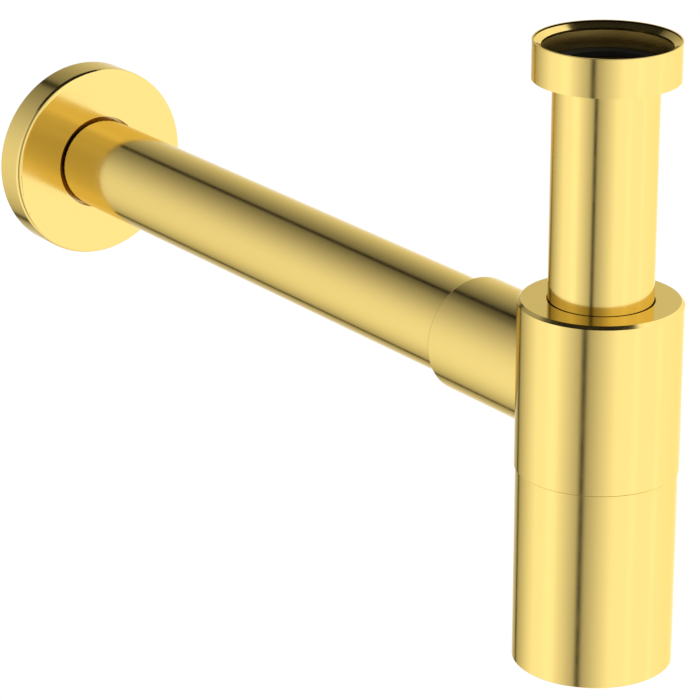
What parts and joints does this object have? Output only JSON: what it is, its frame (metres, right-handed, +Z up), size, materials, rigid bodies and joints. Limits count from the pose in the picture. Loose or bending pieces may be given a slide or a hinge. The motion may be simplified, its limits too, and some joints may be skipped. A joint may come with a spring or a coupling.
{
  "type": "basin bottle trap",
  "caption": "Polished gold basin bottle trap: union nut on an upright inlet tube, cylindrical body with a screw-on cup, and a level outlet pipe with a round wall rosette.",
  "frame": {"origin": "centre of the inlet's sealing face: on the inlet tube's axis, level with the top of the washer in the union nut", "axes": "+Z up along the inlet tube, out of the union nut's mouth; +Y along the outlet pipe, towards the wall"},
  "size_m": [0.069, 0.3424, 0.197],
  "materials": {
    "polished_gold": "polished gold plating on brass",
    "rubber": "matte black",
    "nylon": "natural white"
  },
  "bodies": {
    "inlet": {"inlet_tube": "polished_gold", "inlet_washer": "rubber"},
    "slip_ring": {"slip_ring": "nylon"},
    "union_nut": {"union_nut": "polished_gold"},
    "neck_seal": {"neck_o_ring": "rubber"},
    "trap_body": {"trap_body": "polished_gold"},
    "cup_seal": {"cup_gasket": "rubber"},
    "cup": {"cup": "polished_gold"},
    "outlet_seal": {"outlet_o_ring": "rubber"},
    "outlet_pipe": {"outlet_pipe": "polished_gold"},
    "rosette_seal": {"rosette_o_ring": "rubber"},
    "rosette": {"rosette": "polished_gold"}
  },
  "joints": [
    {"name": "nut_slide", "type": "slide", "parent": "inlet", "child": "slip_ring", "axis": [0, 0, -1], "range_m": [0, 0.05]},
    {"name": "nut_turn", "type": "hinge", "parent": "slip_ring", "child": "union_nut", "pos_m": [0, 0, 0], "axis": [0, 0, 1], "continuous": true},
    {"name": "height_slide", "type": "slide", "parent": "inlet", "child": "neck_seal", "axis": [0, 0, 1], "range_m": [-0.04, 0.01]},
    {"name": "body_swivel", "type": "hinge", "parent": "neck_seal", "child": "trap_body", "pos_m": [0, 0, -0.07795], "axis": [0, 0, 1], "continuous": true},
    {"name": "cup_lower", "type": "slide", "parent": "trap_body", "child": "cup_seal", "axis": [0, 0, -1], "range_m": [0, 0.008]},
    {"name": "cup_turn", "type": "hinge", "parent": "cup_seal", "child": "cup", "pos_m": [0, 0, -0.13695], "axis": [0, 0, -1], "range_deg": [0, 1440]},
    {"name": "pipe_turn", "type": "hinge", "parent": "trap_body", "child": "outlet_seal", "pos_m": [0, 0.05515, -0.10175], "axis": [0, 1, 0], "continuous": true},
    {"name": "pipe_slide", "type": "slide", "parent": "outlet_seal", "child": "outlet_pipe", "axis": [0, 1, 0], "range_m": [-0.005, 0.015]},
    {"name": "rosette_slide", "type": "slide", "parent": "outlet_pipe", "child": "rosette_seal", "axis": [0, 1, 0], "range_m": [-0.2, 0.01]},
    {"name": "rosette_turn", "type": "hinge", "parent": "rosette_seal", "child": "rosette", "pos_m": [0, 0.2899, -0.10175], "axis": [0, 1, 0], "continuous": true}
  ],
  "couplings": [
    {"joint": "cup_lower", "follows": "cup_turn", "m_per_rad": 0.00031831}
  ]
}
